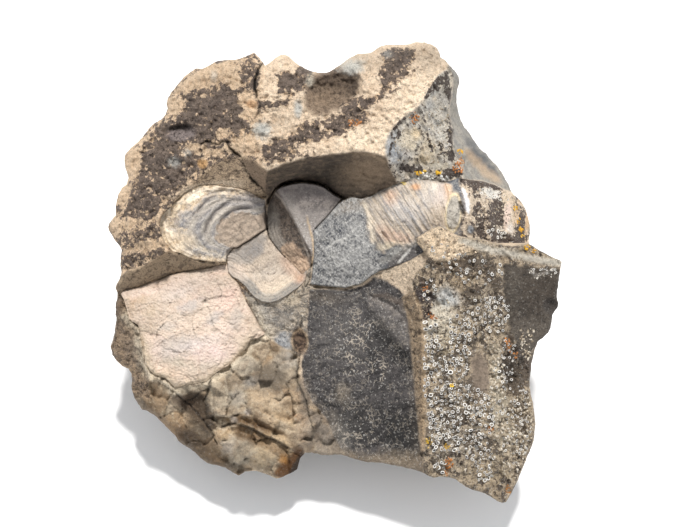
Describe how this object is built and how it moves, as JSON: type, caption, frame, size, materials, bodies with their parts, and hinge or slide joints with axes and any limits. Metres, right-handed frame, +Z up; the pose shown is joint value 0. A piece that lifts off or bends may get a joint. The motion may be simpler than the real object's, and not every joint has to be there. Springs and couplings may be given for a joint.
{
  "type": "ammonite fossil",
  "caption": "Broken ammonite lying in a loose block of weathered, lichened mudstone: whorl casts and pearly shell plates set in the rock's broken face, on a flat underside.",
  "frame": {"origin": "on the flat underside, below the middle of the block's bounding box", "axes": "+Z up; the broken face with the ammonite faces up and leans towards -Y; +X to the right of that face"},
  "size_m": [0.1276, 0.1316, 0.075],
  "materials": {
    "weathered_mudstone": "matt, rough, lichen crusted",
    "whorl_nacre": "satin nacre over matt grey cast",
    "dark_cast": "matt, fine grained",
    "ribbed_shell": "satin, ribbed",
    "growth_shell": "satin, fine growth lines",
    "pearl_plate": "satin, pink to cream, flaked"
  },
  "bodies": {
    "root": {"matrix_block": "weathered_mudstone", "outer_whorl": "whorl_nacre", "inner_whorl_cast": "dark_cast", "ribbed_flank_shell": "ribbed_shell", "inner_shell_spoon": "growth_shell", "nacre_plate": "pearl_plate"}
  },
  "joints": []
}
